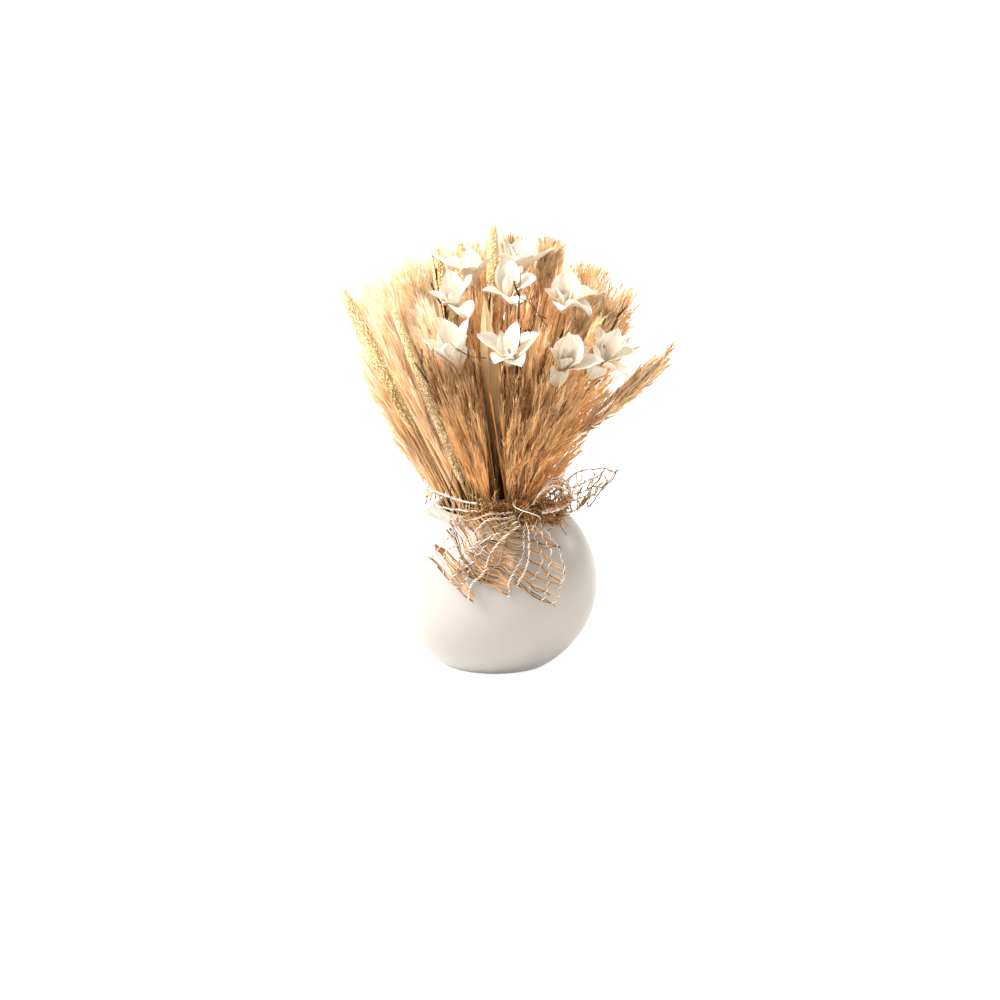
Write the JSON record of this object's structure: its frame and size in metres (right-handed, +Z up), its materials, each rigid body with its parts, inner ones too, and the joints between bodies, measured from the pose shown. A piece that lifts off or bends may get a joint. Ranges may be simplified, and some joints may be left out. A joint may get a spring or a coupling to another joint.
{
  "type": "dried flower bouquet in a vase",
  "caption": "Small hand-tied bouquet of dried grasses, millet, leaves and shaved-wood flowers, bound with a jute net ribbon, in a round white ceramic vase.",
  "frame": {"origin": "middle of the vase's flat foot, on the surface it stands on", "axes": "+Z up, +X to the right and -Y towards the viewer who faces the ribbon's knot"},
  "size_m": [0.1538, 0.1287, 0.1991],
  "materials": {
    "ceramic": "satin",
    "shaved_wood": "matte",
    "millet_spike": "matte",
    "bunny_tail": "matte",
    "dry_leaf": "matte",
    "twig": "matte",
    "jute": "matte",
    "feather_grass": "matte",
    "reed_grass": "matte"
  },
  "bodies": {
    "root": {"bunny_tail_back": "bunny_tail", "bunny_tail_far_right": "bunny_tail", "bunny_tail_left": "bunny_tail", "bunny_tail_right": "bunny_tail", "bunny_tail_top": "bunny_tail", "feather_grass_01": "feather_grass", "feather_grass_02": "feather_grass", "feather_grass_03": "feather_grass", "feather_grass_04": "feather_grass", "feather_grass_05": "feather_grass", "feather_grass_06": "feather_grass", "feather_grass_07": "feather_grass", "feather_grass_08": "feather_grass", "feather_grass_09": "feather_grass", "feather_grass_10": "feather_grass", "feather_grass_11": "feather_grass", "feather_grass_12": "feather_grass", "flower_back_left": "shaved_wood", "flower_back_right": "shaved_wood", "flower_front_centre": "shaved_wood", "flower_front_left": "shaved_wood", "flower_front_right": "shaved_wood", "flower_right": "shaved_wood", "flower_top_centre": "shaved_wood", "flower_top_left": "shaved_wood", "flower_top_right": "shaved_wood", "leaf_centre": "dry_leaf", "leaf_front_right": "dry_leaf", "leaf_inner": "dry_leaf", "leaning_plume": "reed_grass", "millet_back": "millet_spike", "millet_far_left": "millet_spike", "millet_left": "millet_spike", "millet_top": "millet_spike", "millet_top_left": "millet_spike", "reed_grass_01": "reed_grass", "reed_grass_02": "reed_grass", "reed_grass_03": "reed_grass", "reed_grass_04": "reed_grass", "reed_grass_05": "reed_grass", "reed_grass_06": "reed_grass", "reed_grass_07": "reed_grass", "reed_grass_08": "reed_grass", "reed_grass_09": "reed_grass", "reed_grass_10": "reed_grass", "reed_grass_11": "reed_grass", "reed_grass_12": "reed_grass", "reed_grass_13": "reed_grass", "reed_grass_14": "reed_grass", "ribbon_band": "jute", "ribbon_knot": "jute", "ribbon_loop": "jute", "ribbon_tail_down_left": "jute", "ribbon_tail_down_right": "jute", "ribbon_tail_up_right": "jute", "twig_centre": "twig", "twig_left": "twig", "twig_right": "twig", "twig_top_left": "twig", "vase": "ceramic"}
  },
  "joints": []
}
